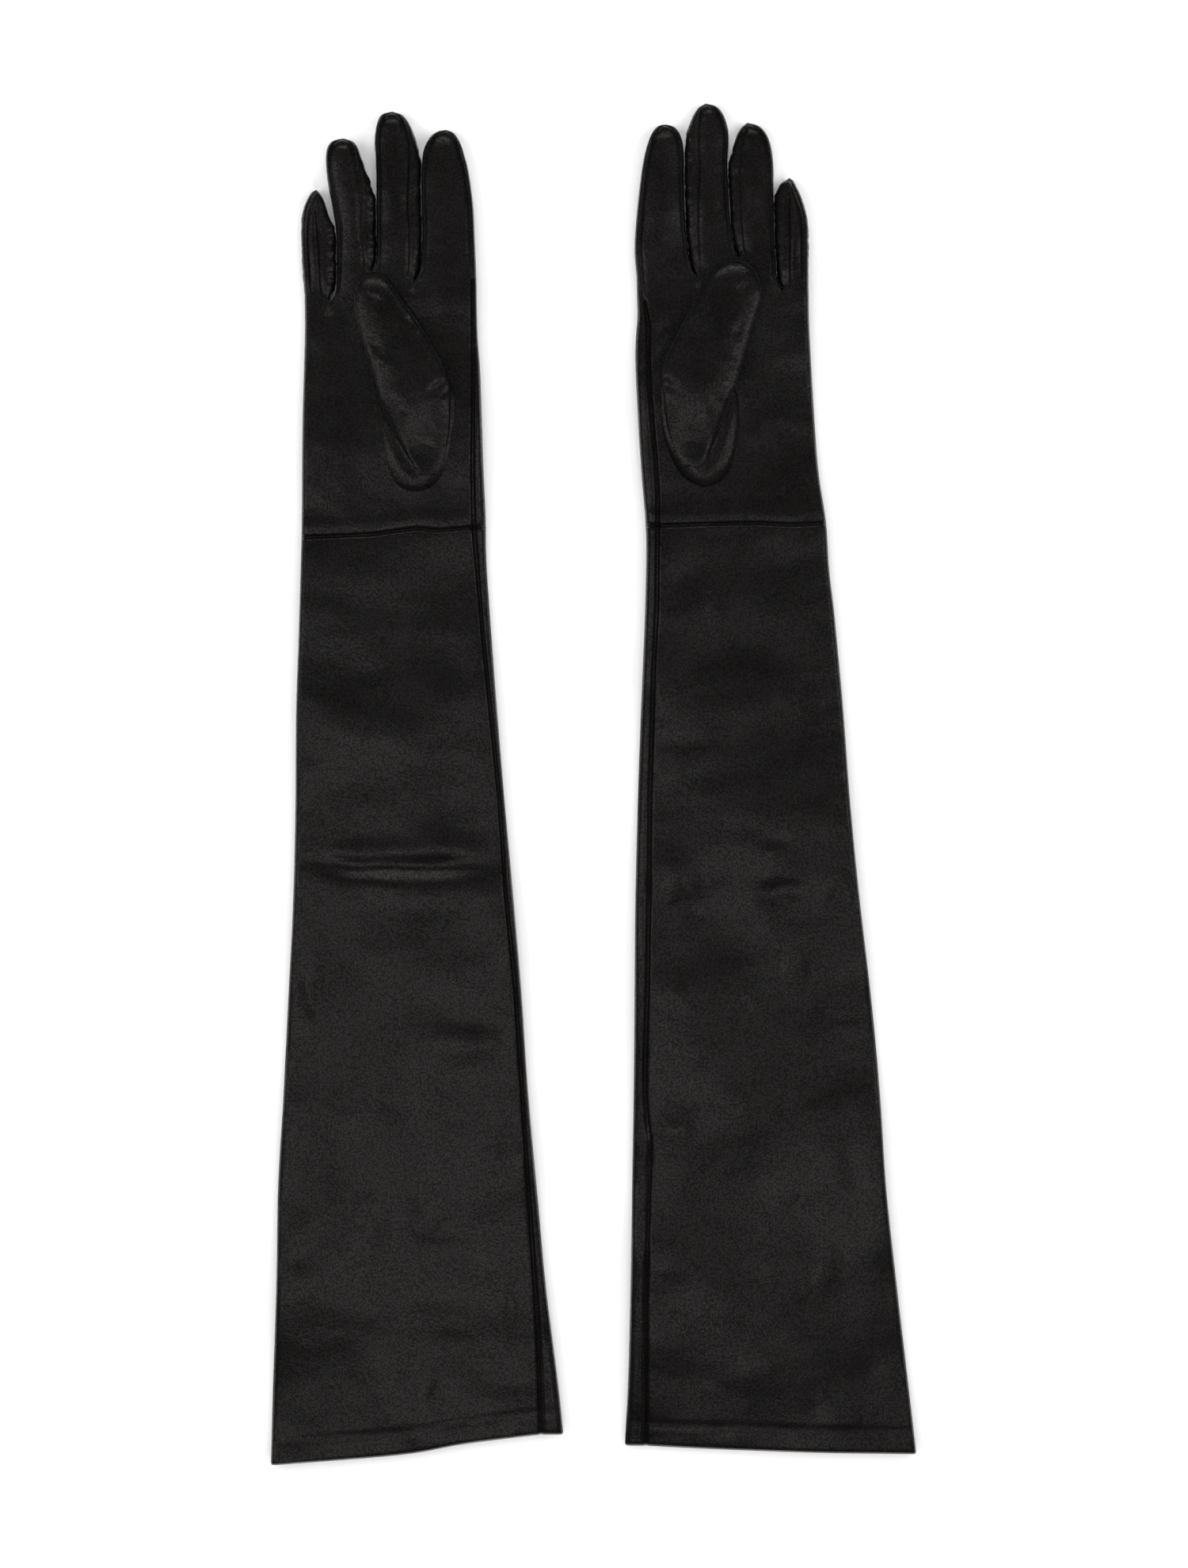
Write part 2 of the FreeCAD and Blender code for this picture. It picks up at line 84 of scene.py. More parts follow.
RIGHT = {
    "side": 1,
    "little_edge": [(-162.8, -343), (-161.6, -300.6), (-160, -252.6), (-159.2, -204.6), (-156.4, -156.6),
                    (-154, -108.6), (-151.6, -60.6), (-150.4, -12.6), (-150, 35.4), (-148.4, 83.4),
                    (-147.2, 131.4), (-146.8, 179.4), (-145.6, 227.4), (-145.8, 247.1)],
    "thumb_edge": [(-13.4, -345), (-15.2, -326.6), (-18, -300.6), (-24, -252.6), (-28.4, -204.6),
                   (-32.8, -156.6), (-36, -108.6), (-40, -60.6), (-44.4, -12.6), (-48.4, 35.4),
                   (-52, 83.4), (-53.9, 112), (-54.3, 136), (-55.2, 155.4), (-56.8, 203.4), (-58.4, 227.4),
                   (-58.9, 252.7)],
    "side_seam": [(-25.6, -345), (-26.4, -327.4), (-28.2, -273), (-33.2, -197.4), (-39.2, -104.6),
                  (-44.1, -55.8), (-47.4, -7), (-55.6, 74.3), (-60.2, 128), (-60.9, 155), (-60.4, 203),
                  (-60.8, 252.7)],
    "hem": [(-163, -343), (-97.2, -337.8), (-66.8, -332.6), (-26.4, -327.6), (-13, -326.4)],
    "wrist": [(-148, 123.8), (-112.2, 125.3), (-88.5, 128.4), (-78.6, 127.2), (-62.8, 128.7), (-54, 129)],
    "row": [(-145.8, 247.1), (-133, 242.6), (-111.6, 257), (-90.3, 252.6), (-60.8, 252.7)],
    "fingers": {
        "little": {
            "a": [(-143.3, 247.1), (-144.5, 259), (-145.2, 274.6), (-144.9, 285), (-143.7, 290.5),
                  (-142, 294.6), (-140.2, 297.6)],
            "b": [(-133, 242.6), (-135.6, 245.5), (-136.6, 251), (-137.1, 266.7), (-137.8, 278.6),
                  (-138.4, 288), (-139, 293.6), (-140.2, 297.6)],
            "side_a": [(250, 2.5), (290, 2.4), (297, 2.0)],
            "side_b": [(278, 9), (286, 5.0), (293, 3.4), (297, 2.0)]},
        "ring": {
            "a": [(-133, 242.6), (-130.2, 245.6), (-128.7, 252), (-128.4, 266.7), (-128.8, 279),
                  (-130.6, 290.3), (-132.6, 300), (-134, 311), (-133.7, 318.5), (-131.2, 322.8),
                  (-126, 324.4)],
            "b": [(-111.6, 257), (-113.8, 260), (-115, 266.7), (-115.8, 282.5), (-116, 294), (-117.2, 306),
                  (-118.7, 316), (-121, 322), (-126, 324.4)],
            "side_a": [(280, 9), (298, 1.6), (324, 0.9)],
            "side_b": [(292, 9), (298, 5.2), (303, 4.6), (309, 2.8), (316, 1.5), (324, 0.9)]},
        "middle": {
            "a": [(-111.6, 257), (-109.6, 260), (-108.4, 266.7), (-108.5, 290), (-108.4, 305), (-108.8, 322),
                  (-108.3, 330.6), (-106.3, 336.1), (-101.5, 338)],
            "b": [(-90.3, 252.6), (-91.8, 256), (-91.9, 262), (-91.5, 274.6), (-92.2, 290.3), (-91.8, 306),
                  (-91.4, 319), (-92.8, 328.5), (-96.2, 335.6), (-101.5, 338)],
            "side_a": [(290, 9), (300, 2.6), (322, 1.8), (337, 0.9)],
            "side_b": [(306, 9), (312, 5.4), (318, 3.6), (328, 2.0), (337, 0.9)]},
        "index": {
            "a": [(-90.3, 252.6), (-87.6, 256.5), (-86.2, 262.8), (-85.4, 278.6), (-85.8, 290.3), (-86, 304),
                  (-85.7, 313), (-84.7, 319.6), (-82, 325), (-78.4, 328), (-74.3, 328.9)],
            "b": [(-60.8, 252.7), (-61, 266), (-61.7, 290), (-63.9, 308), (-66, 316.8), (-67.9, 322.6),
                  (-70.8, 327.2), (-74.3, 328.9)],
            "side_a": [(300, 9), (314, 0.9), (328, 0.9)],
            "side_b": [(252, 1.9), (280, 1.3), (328, 0.9)]},
    },
    "thumb": {
        "inner": [(-83.5, 151), (-88.4, 156.5), (-94.2, 165), (-100.4, 175.6), (-106.3, 188.4),
                  (-109.2, 200.2), (-114.2, 216), (-118.6, 230.8), (-120.2, 239.9), (-119.8, 249),
                  (-115.8, 255), (-109, 257.2)],
        "outer": [(-83.5, 151), (-78.4, 155.4), (-75.2, 162), (-73.2, 170.4), (-72, 180), (-71.8, 191),
                  (-72.6, 200), (-75, 208.2), (-78.6, 216), (-84.6, 226.9), (-90.5, 235.8), (-96.4, 243.7),
                  (-101.3, 250.6), (-104.6, 255.2), (-109, 257.2)],
        "base_inner": [(-88, 145.8), (-94.4, 147), (-100.4, 150.6), (-104.8, 159.8), (-106.8, 169.7),
                       (-107.6, 179.5), (-107.2, 188), (-103, 198), (-88, 207)],
        "base_outer": [(-88, 145.8), (-79.4, 149.6), (-73.4, 158.6), (-70.2, 169.7), (-68.6, 179.5),
                       (-68.2, 190), (-69.2, 198.5), (-74, 205), (-88, 207)],
        "crease": [(-106.6, 188.4), (-100.6, 175), (-94.6, 163.4), (-87.7, 152.4)],
    },
    "strokes": [
        ([(-152, -34.6), (-120, -35), (-88, -34), (-46, -33)], 3.0, 0.8),
        ([(-150, -39), (-120, -42), (-88, -42.5), (-46, -41)], 2.0, -1.9),
        ([(-125, -50), (-96, -53), (-70, -52), (-46, -49)], 4.0, 1.5),
        ([(-138, -5), (-146, 4), (-147, 12)], 3.0, 0.4),
        ([(-146, -110), (-140, -108)], 3.5, -0.6),
        ([(-141.6, -85), (-142, -106), (-144, -122)], 2.2, -0.5),
        ([(-74, -131.8), (-43, -131)], 3.6, 0.55),
        ([(-80, -122), (-45, -121)], 2.6, -0.55),
        ([(-150.8, -183.8), (-120, -170), (-92, -153.8)], 4.0, 0.6),
        ([(-148, -192), (-118, -178), (-90, -162)], 3.2, -0.45),
        ([(-121, -212), (-112, -216)], 5.0, 0.5),
        ([(-151.6, -222), (-151.6, -233)], 3.0, 0.5),
        ([(-135.6, -227.4), (-143, -238), (-151, -248)], 2.4, -0.7),
        ([(-87, -204), (-98, -222), (-108.8, -241)], 3.2, -0.7),
        ([(-80, -210), (-92, -230)], 4.5, 0.4),
        ([(-46, -266), (-37, -266)], 4.0, 0.5),
        ([(-88, -305), (-80, -307)], 4.0, 0.45),
        ([(-97, -318), (-88, -318)], 3.0, 0.35),
        ([(-100, -329), (-99, -334)], 2.2, -0.35),
        ([(-82, -325), (-80, -331)], 2.2, -0.35),
        ([(-62, -322), (-60, -329)], 2.2, -0.35),
        ([(-45, -320), (-45, -327)], 2.0, -0.3),
        ([(-143, 216), (-134, 226), (-124, 229)], 4.5, 0.55),
        ([(-142, 204), (-126, 203)], 3.6, 0.4),
        ([(-139, 166), (-135, 175), (-130, 181)], 3.5, 0.45),
        ([(-130, 147), (-121, 161)], 3.0, 0.45),
        ([(-126, 146), (-116, 160)], 2.6, -0.4),
        ([(-120, 205), (-118, 180), (-116, 165)], 6.0, -0.5),
        ([(-82.6, 242), (-71, 242.4)], 3.0, 0.5),
        ([(-57.9, 136), (-56.5, 141)], 2.5, 0.4),
        ([(-130, 98), (-96, 88), (-70, 90)], 7.0, 0.35),
        ([(-135, 60), (-105, 70), (-80, 62)], 4.5, -0.35),
        ([(-68, 40), (-88, 22), (-112, 18)], 4.0, 0.4),
    ],
    "thumb_strokes": [
        ([(-94.4, 235.8), (-84.6, 223.9)], 2.2, 0.5),
        ([(-106.3, 209), (-104, 214)], 3.5, 0.5),
        ([(-111.2, 241), (-109, 245)], 2.6, -0.6),
        ([(-112.2, 219), (-108, 222)], 2.8, -0.55),
        ([(-97, 197), (-92.5, 182.5)], 3.4, 0.5),
        ([(-74.2, 202.2), (-82.6, 195.4)], 1.8, -0.9),
        ([(-71, 199), (-78, 193.6)], 1.6, -0.6),
        ([(-100, 188), (-88, 196)], 2.2, -0.35),
        ([(-90, 172), (-80, 164)], 3.0, -0.35),
    ],
}

LEFT = {
    "side": -1,
    "little_edge": [(163.2, -338), (158.8, -300.6), (153.2, -252.6), (148, -204.6), (144.8, -156.6),
                    (140.4, -108.6), (134.8, -60.6), (130, -12.6), (126.4, 35.4), (122, 83.4), (119.2, 107.4),
                    (117.6, 131.4), (114, 155.4), (112, 179.4), (109.2, 227.4), (108.6, 250.6)],
    "thumb_edge": [(16, -333), (17.6, -300.6), (18.8, -252.6), (19.6, -204.6), (20.4, -156.6), (20.8, -108.6),
                   (21.2, -60.6), (22.4, -12.6), (24, 35.4), (26, 83.4), (26.7, 114), (26.4, 131.4),
                   (24.4, 155.4), (22.8, 179.4), (21.2, 215), (22.3, 235.4), (22.2, 242)],
    "side_seam": [(26.6, -336), (26.6, -261.8), (27.9, -212.2), (28.8, -184), (26.6, -163),
                  (26.2, -146.2), (27.4, -104.6), (28.2, -55.8), (28.7, -7), (30.6, 58.2), (32.2, 90.6),
                  (32.6, 131.8), (32.6, 147), (31.3, 166), (29.9, 181.2), (28.4, 201.5), (28, 214.7),
                  (27.8, 231.9), (26, 242)],
    "hem": [(14, -331), (16.7, -331.4), (26.6, -333.4), (102.6, -336.4), (164, -337.4)],
    "wrist": [(24, 129.8), (34.7, 129.8), (59, 130.6), (83.4, 131.1), (99.6, 130.1), (119, 131.1)],
    "row": [(108.6, 250.6), (95.2, 247.9), (73.6, 264.6), (52.7, 255.5), (26, 242)],
    "fingers": {
        "little": {
            "a": [(106.1, 250.6), (106.4, 269.6), (106.2, 281), (104.9, 288.6), (102.9, 295), (100.8, 300),
                  (99.2, 303.6)],
            "b": [(95.2, 247.9), (97.6, 251), (97.8, 258), (97.5, 273.4), (97.2, 288.6), (97.3, 296),
                  (98, 301), (99.2, 303.6)],
            "side_a": [(252, 2.5), (294, 2.4), (303, 2.0)],
            "side_b": [(292, 9), (297, 5.4), (301, 4.0), (303.4, 2.0)]},
        "ring": {
            "a": [(95.2, 247.9), (92.8, 251), (91.6, 257), (91.2, 264), (90.3, 277.2), (90.3, 288.6),
                  (90.2, 300), (90.2, 311), (89.2, 320), (87.2, 326.4), (83.4, 330.9), (78, 332.6)],
            "b": [(73.6, 264.6), (75.2, 268), (74.7, 273.4), (73.2, 288.6), (72.8, 303.8), (73.2, 315),
                  (74.2, 324), (75.6, 329.8), (78, 332.6)],
            "side_a": [(290, 9), (300, 0.9), (332, 0.9)],
            "side_b": [(306, 9), (314, 4.4), (319, 3.6), (326, 2.4), (332, 0.9)]},
        "middle": {
            "a": [(73.6, 264.6), (71.6, 267), (70.2, 272), (69, 279), (67.9, 292.4), (67.1, 311.4),
                  (67.6, 322), (67.2, 330), (65.2, 336.4), (61.8, 340.6), (56.8, 342.2)],
            "b": [(52.7, 255.5), (52.9, 260), (52.6, 266), (51.9, 281), (51.9, 296.2), (52.4, 311),
                  (52.1, 324), (52.2, 333), (53.6, 339.6), (56.8, 342.2)],
            "side_a": [(300, 9), (312, 1.0), (342, 0.9)],
            "side_b": [(314, 9), (320, 6.0), (327, 5.4), (334, 3.2), (341, 0.9)]},
        "index": {
            "a": [(52.7, 255.5), (49.8, 258.5), (47.6, 267), (46.2, 277), (45.5, 284.8), (44.9, 305),
                  (44.8, 318), (44, 324.4), (42, 328.9), (39.6, 330.8), (36.3, 331.6)],
            "b": [(26, 242), (24.4, 254.4), (23, 269.6), (23.7, 284.8), (25.2, 303.8), (26.7, 315),
                  (28.4, 322.2), (30.4, 327.4), (33, 330.6), (36.3, 331.6)],
            "side_a": [(305, 9), (318, 0.9), (331, 0.9)],
            "side_b": [(242, 3.8), (256, 2.3), (285, 2.0), (304, 1.4), (331, 0.9)]},
    },
    "thumb": {
        "inner": [(50.5, 155), (54.6, 158.4), (58.2, 164), (62, 172.8), (66.1, 183.3), (70.2, 195.4),
                  (72.2, 201.5), (75.2, 211.7), (78.3, 222.8), (81.3, 233), (83.8, 241), (84.9, 248.2),
                  (82.3, 256.8), (77.4, 262), (71.4, 264)],
        "outer": [(50.5, 155), (45.6, 159), (41.6, 166), (38, 175.4), (36, 186.3), (35.2, 197),
                  (34.6, 206), (37.7, 216.7), (43.8, 228.9), (49.9, 240), (55, 250.2), (60, 257.3),
                  (65.1, 262), (71.4, 264)],
        "base_inner": [(55, 149), (60.4, 150.2), (65.2, 153.3), (69.2, 159.2), (71.7, 168.1), (73.2, 178.2),
                       (73.6, 188.4), (71, 199), (56, 210)],
        "base_outer": [(55, 149), (45.4, 154.4), (39.4, 163.6), (35.2, 174.2), (33.2, 186.3), (32.6, 197.5),
                       (33.8, 204), (40, 209), (56, 210)],
        "crease": [(70.4, 195.4), (66.1, 183.3), (62, 172.1), (58, 162), (55.5, 156.4)],
    },
    "strokes": [
        ([(124.6, 43), (123, 36), (125, 29)], 3.0, 0.6),
        ([(128, 39), (114, 38)], 2.4, -0.6),
        ([(43.2, 97), (49.8, 110)], 2.6, -0.55),
        ([(40, 84), (61, 92)], 4.0, 0.5),
        ([(38, 57), (60, 56), (86, 52)], 4.5, 0.5),
        ([(45, 15.8), (86, 14)], 3.0, 0.45),
        ([(30, 19.8), (61, 20.4)], 2.4, -0.5),
        ([(84, -26.8), (100.4, -31.4)], 1.8, -0.8),
        ([(84, -31.6), (100.4, -36)], 3.0, 0.5),
        ([(34, -50), (56, -49)], 4.6, 0.65),
        ([(37, -59), (46, -63.8), (56, -62)], 2.4, -0.6),
        ([(78, -51), (94, -46.5), (110, -47)], 2.8, 0.6),
        ([(80, -57), (96, -53), (111, -54)], 2.4, -0.6),
        ([(124.6, -43), (124.6, -50)], 3.0, 0.5),
        ([(118, -55), (124, -58.6), (130, -57)], 2.6, -0.55),
        ([(74, -67), (94, -66)], 4.0, 0.5),
        ([(94, -91.6), (110, -92)], 4.0, 0.5),
        ([(129, -116), (129, -121)], 3.0, 0.5),
        ([(131.6, -134), (131.6, -139)], 3.0, 0.5),
        ([(132.4, -152), (134, -168)], 3.0, 0.5),
        ([(41, -103), (46, -107.5), (51, -104)], 3.0, 0.5),
        ([(30, -174), (53, -173)], 3.0, 0.6),
        ([(25, -141), (60, -148), (108, -151)], 4.2, -0.6),
        ([(30, -130), (66, -137), (104, -139)], 5.0, 0.4),
        ([(127, -179), (131, -196), (134, -212)], 2.8, -0.55),
        ([(111, -242), (124, -243)], 4.2, 0.5),
        ([(79.5, -275), (94, -282), (107.6, -292)], 2.8, -0.55),
        ([(84, -266), (110, -282)], 4.4, 0.45),
        ([(139, -290), (139, -306)], 3.0, -0.5),
        ([(110.8, -310), (111, -324)], 2.6, -0.5),
        ([(64, -322), (64, -331)], 2.2, -0.35),
        ([(24.6, -54.2), (30, -54.2)], 2.4, -0.6),
        ([(22, -171), (30, -176)], 2.4, -0.6),
        ([(77, 176), (77, 196)], 3.4, -0.6),
        ([(73, 171), (80, 176), (89, 180)], 3.0, 0.5),
        ([(83, 153), (98.5, 148)], 3.0, 0.5),
        ([(104, 176), (106, 186)], 4.6, 0.5),
        ([(77, 202), (79, 206)], 3.0, 0.5),
        ([(27.6, 206), (28.4, 216), (30.6, 222), (34.7, 226.6), (42, 228.6)], 2.0, 0.7),
        ([(31.6, 198), (32, 208), (35, 216), (40, 222)], 2.6, -0.9),
    ],
    "thumb_strokes": [
        ([(60, 240), (52, 226)], 2.4, 0.5),
        ([(70, 214), (67, 208)], 3.6, 0.5),
        ([(76, 246), (73, 250)], 2.6, -0.6),
        ([(75, 226), (70, 228)], 2.8, -0.5),
        ([(58, 198), (55, 184)], 3.4, 0.5),
        ([(34, 203), (42, 197)], 1.8, -0.8),
        ([(66, 190), (55, 197)], 2.2, -0.35),
        ([(53, 172), (44, 166)], 3.0, -0.35),
    ],
}


def smooth(x):
    x = np.clip(x, 0, 1)
    return x * x * (3 - 2 * x)


def dense(points, per=12):
    """Many points on a smooth curve through the given ones."""
    p = np.array(points, float)
    p = np.vstack([2 * p[0] - p[1], p, 2 * p[-1] - p[-2]])
    t = np.linspace(0, 1, per, endpoint=False)[:, None]
    runs = []
    for a, b, c, d in zip(p[:-3], p[1:-2], p[2:-1], p[3:]):
        runs.append(b + t * ((c - a) + t * ((2 * a - 5 * b + 4 * c - d) + t * (3 * b - a - 3 * c + d))) / 2)
    return np.vstack(runs + [p[-2][None]])


def lengths(points):
    return np.concatenate([[0], np.cumsum(np.linalg.norm(np.diff(points, axis=0), axis=1))])


def along(points, shares):
    """Points at these shares of the length of a polyline."""
    run = lengths(points)
    return np.stack([np.interp(np.asarray(shares) * run[-1], run, points[:, k])
                     for k in range(points.shape[1])], -1)


def by_level(points, axis=1):
    """A smooth line as a function of y, or of u with axis 0."""
    q = dense(points)
    q = q[np.argsort(q[:, axis], kind="stable")]
    return lambda v: np.interp(v, q[:, axis], q[:, 1 - axis])


def distance(points, line):
    """How far each point is from a polyline."""
    line = np.array(line, float)
    best = np.full(len(points), 1e9)
    for a, b in zip(line[:-1], line[1:]):
        t = np.clip(((points - a) @ (b - a)) / ((b - a) @ (b - a)), 0, 1)
        best = np.minimum(best, np.linalg.norm(points - a - t[:, None] * (b - a), axis=1))
    return best


def fold(points, line, width, height):
    """A long soft ridge, or a valley when height is below 0, that fades out at both ends."""
    line = np.array(line, float)
    run = lengths(line)
    best, place = np.full(len(points), 1e9), np.zeros(len(points))
    for a, b, start in zip(line[:-1], line[1:], run[:-1]):
        t = np.clip(((points - a) @ (b - a)) / ((b - a) @ (b - a)), 0, 1)
        away = np.linalg.norm(points - a - t[:, None] * (b - a), axis=1)
        place = np.where(away < best, (start + t * np.linalg.norm(b - a)) / run[-1], place)
        best = np.minimum(best, away)
    ends = 0.2 + 0.8 * smooth(3 * np.minimum(place, 1 - place))
    return height * ends * np.exp(-(best / width) ** 2)


def waves(points, across, up, seed):
    """Smooth random relief, about -1 to 1, with bumps of these sizes."""
    return np.array([noise.noise(Vector((x / across, y / up, seed))) for x, y in points])


def mirrored(data, side):
    """The same outlines in glove coordinates, where the thumb side is towards +u."""
    if isinstance(data, dict):
        return {k: v if k.startswith("side_") and k != "side_seam" else mirrored(v, side)
                for k, v in data.items()}
    if isinstance(data, list):
        if data and isinstance(data[0], tuple) and isinstance(data[0][0], list):
            return [([(side * x, y) for x, y in line], width, height) for line, width, height in data]
        return [(side * x, y) for x, y in data]
    return data


class Skin:
    """Patches of leather. Touching patches share their vertices, so light runs on across their borders."""

    def __init__(self, side):
        self.side = side
        self.patches = []

    def add(self, piece, grid):
        grid = grid.copy()
        grid[..., 0] *= self.side
        self.patches.append((piece, grid if self.side > 0 else grid[:, ::-1]))

    def build(self):
        points = np.concatenate([g.reshape(-1, 3) for _, g in self.patches])
        _, first, welded = np.unique(np.round(points, 3), axis=0, return_index=True, return_inverse=True)
        welded = welded.ravel()
        shared = points[first]
        quads, owners, start = [], [], 0
        for piece, grid in self.patches:
            rows, columns = grid.shape[:2]
            ids = welded[start:start + rows * columns].reshape(rows, columns)
            start += rows * columns
            quads.append(np.stack([ids[:-1, :-1], ids[:-1, 1:], ids[1:, 1:], ids[1:, :-1]],
                                  -1).reshape(-1, 4))
            owners += [piece] * len(quads[-1])
        quads, owners = np.concatenate(quads), np.array(owners)
        face = np.cross(shared[quads[:, 2]] - shared[quads[:, 0]], shared[quads[:, 3]] - shared[quads[:, 1]])
        normals = np.zeros_like(shared)
        for k in range(4):
            np.add.at(normals, quads[:, k], face)
        normals /= np.maximum(np.linalg.norm(normals, axis=1), 1e-9)[:, None]
        pieces = {}
        for piece in dict.fromkeys(owners):
            faces = []
            for quad in quads[owners == piece]:
                kept = list(dict.fromkeys(int(i) for i in quad))
                if len(kept) > 2:
                    faces.append(kept)
            used = sorted({i for f in faces for i in f})
            place = {i: n for n, i in enumerate(used)}
            mesh = bpy.data.meshes.new(piece)
            mesh.from_pydata(shared[used] * MM, [], [[place[i] for i in f] for f in faces])
            mesh.shade_smooth()
            mesh.normals_split_custom_set_from_vertices(normals[used].tolist())
            pieces[piece] = bpy.data.objects.new(piece, mesh)
            bpy.context.scene.collection.objects.link(pieces[piece])
        return pieces


def shell(name, rows, side, closed=True):
    """A plain mesh from rows of points, its last column joined to its first."""
    skin = Skin(side)
    skin.add(name, np.concatenate([rows, rows[:, :1]], 1) if closed else rows)
    return skin.build()[name]


def wall(edge, out, width, top, bottom, roll):
    """The side of the glove from its upper edge round to its lower one. Grid of rows by steps, top first."""
    radius = np.minimum(ROLL_ROUND, roll * width) if roll < 1 else width
    steps = []
    flat = 5 if roll < 1 else 0
    for k in range(WALL_STEPS + 1):
        if k < flat:
            reach, height = (width - radius) * k / flat, top
        else:
            turn = math.pi * (k - flat) / (WALL_STEPS - flat)
            reach = width - radius + radius * math.sin(turn)
            height = (top + bottom) / 2 + (top - bottom) / 2 * math.cos(turn)
        if k == WALL_STEPS:
            reach = np.zeros_like(width)
        steps.append(np.concatenate([edge + out * reach[:, None], height[:, None]], 1))
    return np.stack(steps, 1)


def relief(glove, points):
    """Folds, seams and creases, laid on the upper side. The underside lies nearly flat."""
    flat = points.reshape(-1, 3)
    plan = flat[:, :2]
    lift = np.zeros(len(flat))
    for line, width, height in glove["strokes"]:
        lift += fold(plan, line, FOLD_SPREAD * width, FOLD_HEIGHT * height)
    for line, width, height in glove["seams"]:
        lift += height * np.exp(-(distance(plan, line) / width) ** 2)
    for high, across, up, place in BODY_WAVES:
        lift += high * waves(plan, across, up, glove["seed"] + place)
    upper = smooth((flat[:, 2] - 2.6) / 3.0)
    under = 0.12 * (1 + waves(plan, 12, 9, glove["seed"] + 21))
    made = flat.copy()
    made[:, 2] += upper * lift + (1 - upper) * under
    made[:, 2] = np.maximum(made[:, 2], 0.05)
    return made.reshape(points.shape)


def shares_across(width, count):
    """Places across a width, close together near its two seams."""
    seam = np.array(SEAM_STEPS) / width
    return np.concatenate([seam[:-1], np.linspace(seam[-1], 1 - seam[-1], count), 1 - seam[:-1][::-1]])


def outline_normals(path):
    """Directions out of an outline that runs up on the little side and down on the other."""
    step = np.gradient(path, axis=0)
    step /= np.maximum(np.linalg.norm(step, axis=1), 1e-9)[:, None]
    return np.stack([-step[:, 1], step[:, 0]], 1)


def finger(glove, name, at_row, count):
    """Upper and lower face and both sides of one finger, from its base to its tip."""
    spec = glove["fingers"][name]
    line_a, line_b = dense(spec["a"]), dense(spec["b"])
    share = np.linspace(0, 1, FINGER_ROWS)
    share = share + 0.12 * np.sin(math.pi * share) * share
    edge_a, edge_b = along(line_a, share), along(line_b, share)
    out = outline_normals(np.vstack([edge_a, edge_b[-2::-1]]))
    out_a, out_b = out[:FINGER_ROWS], out[FINGER_ROWS - 1:][::-1]
    radius = 0.45 * np.abs(edge_b[FINGER_ROWS // 2, 0] - edge_a[FINGER_ROWS // 2, 0])
    left = np.linalg.norm((edge_a + edge_b) / 2 - edge_a[-1], axis=1)
    swell = smooth(share / 0.5)
    tip = np.sqrt(np.clip(1 - (1 - np.clip(left / radius, 0, 1)) ** 2, 0, 1))
    full = PALM_TOP + (FINGER_EDGE - PALM_TOP) * swell
    edge_top = TIP_EDGE + (full - TIP_EDGE) * tip ** 1.2
    floor = TIP_FLOOR + (FLOOR_GAP - TIP_FLOOR) * tip ** 1.2
    crown = FINGER_CROWN * swell * tip
    f = shares_across(np.linalg.norm(at_row[-1] - at_row[0]), count)
    plan = edge_a[:, None] * (1 - f[None, :, None]) + edge_b[:, None] * f[None, :, None]
    bow = np.abs(2 * f - 1) ** 2.2
    width = np.linalg.norm(edge_b - edge_a, axis=1)[:, None]
    inset = np.minimum(f, 1 - f)[None] * width
    seam = (SEAM_RIDGE * np.exp(-((inset - 0.4) / 0.35) ** 2)
            - SEAM_GROOVE * np.exp(-((inset - 1.2) / 0.42) ** 2))
    fade = smooth(share / 0.12) * np.clip(width[:, 0] / 8, 0, 1)
    top = edge_top[:, None] + crown[:, None] * (1 - bow)[None] + seam * fade[:, None]
    low = np.repeat(floor[:, None], len(f), 1)
    upper = np.concatenate([plan, top[..., None]], 2)
    lower = np.concatenate([plan, low[..., None]], 2)
    place = ORDER.index(name)
    wide = []
    for key, edge, step, part in (("side_a", edge_a, -1, GAP_SHARE_A), ("side_b", edge_b, 1, GAP_SHARE_B)):
        shown = np.interp(edge[:, 1], *np.array(spec[key]).T)
        if 0 <= place + step < len(ORDER):
            beside = by_level(glove["fingers"][ORDER[place + step]]["b" if step < 0 else "a"])(edge[:, 1])
            shown = np.minimum(shown, np.maximum(part * step * (beside - edge[:, 0]), 0))
        wide.append(shown)
    end = min(wide[0][-1], wide[1][-1])
    wide[0][-1] = wide[1][-1] = end
    wall_a = wall(edge_a, out_a, wide[0], top[:, 0], low[:, 0], 1.0)
    wall_b = wall(edge_b, out_b, wide[1], top[:, -1], low[:, -1], 0.75 if name == "index" else 1.0)
    wall_b[-1] = wall_a[-1]
    for grid in (wall_a, wall_b) if name != "index" else (wall_a,):
        across = np.sin(math.pi * np.linspace(0, 1, WALL_STEPS + 1)) ** 2
        depth = (grid[:, [0], :2].repeat(WALL_STEPS + 1, 1)
                 + np.arange(WALL_STEPS + 1)[None, :, None] * [0.9, 0.35])
        crinkle = waves(depth.reshape(-1, 2), 3.0, 2.1, glove["seed"] + 53).reshape(grid.shape[:2])
        outward = -1 if grid is wall_a else 1
        room = np.clip(np.abs(grid[:, WALL_STEPS // 2, 0] - grid[:, 0, 0]) / 4, 0, 1)[:, None]
        grid[..., 0] += outward * 0.55 * (crinkle - 0.5) * across * room * fade[:, None]
        grid[..., 2] += 0.5 * crinkle * across * room * fade[:, None]
    return upper, lower, wall_a, wall_b


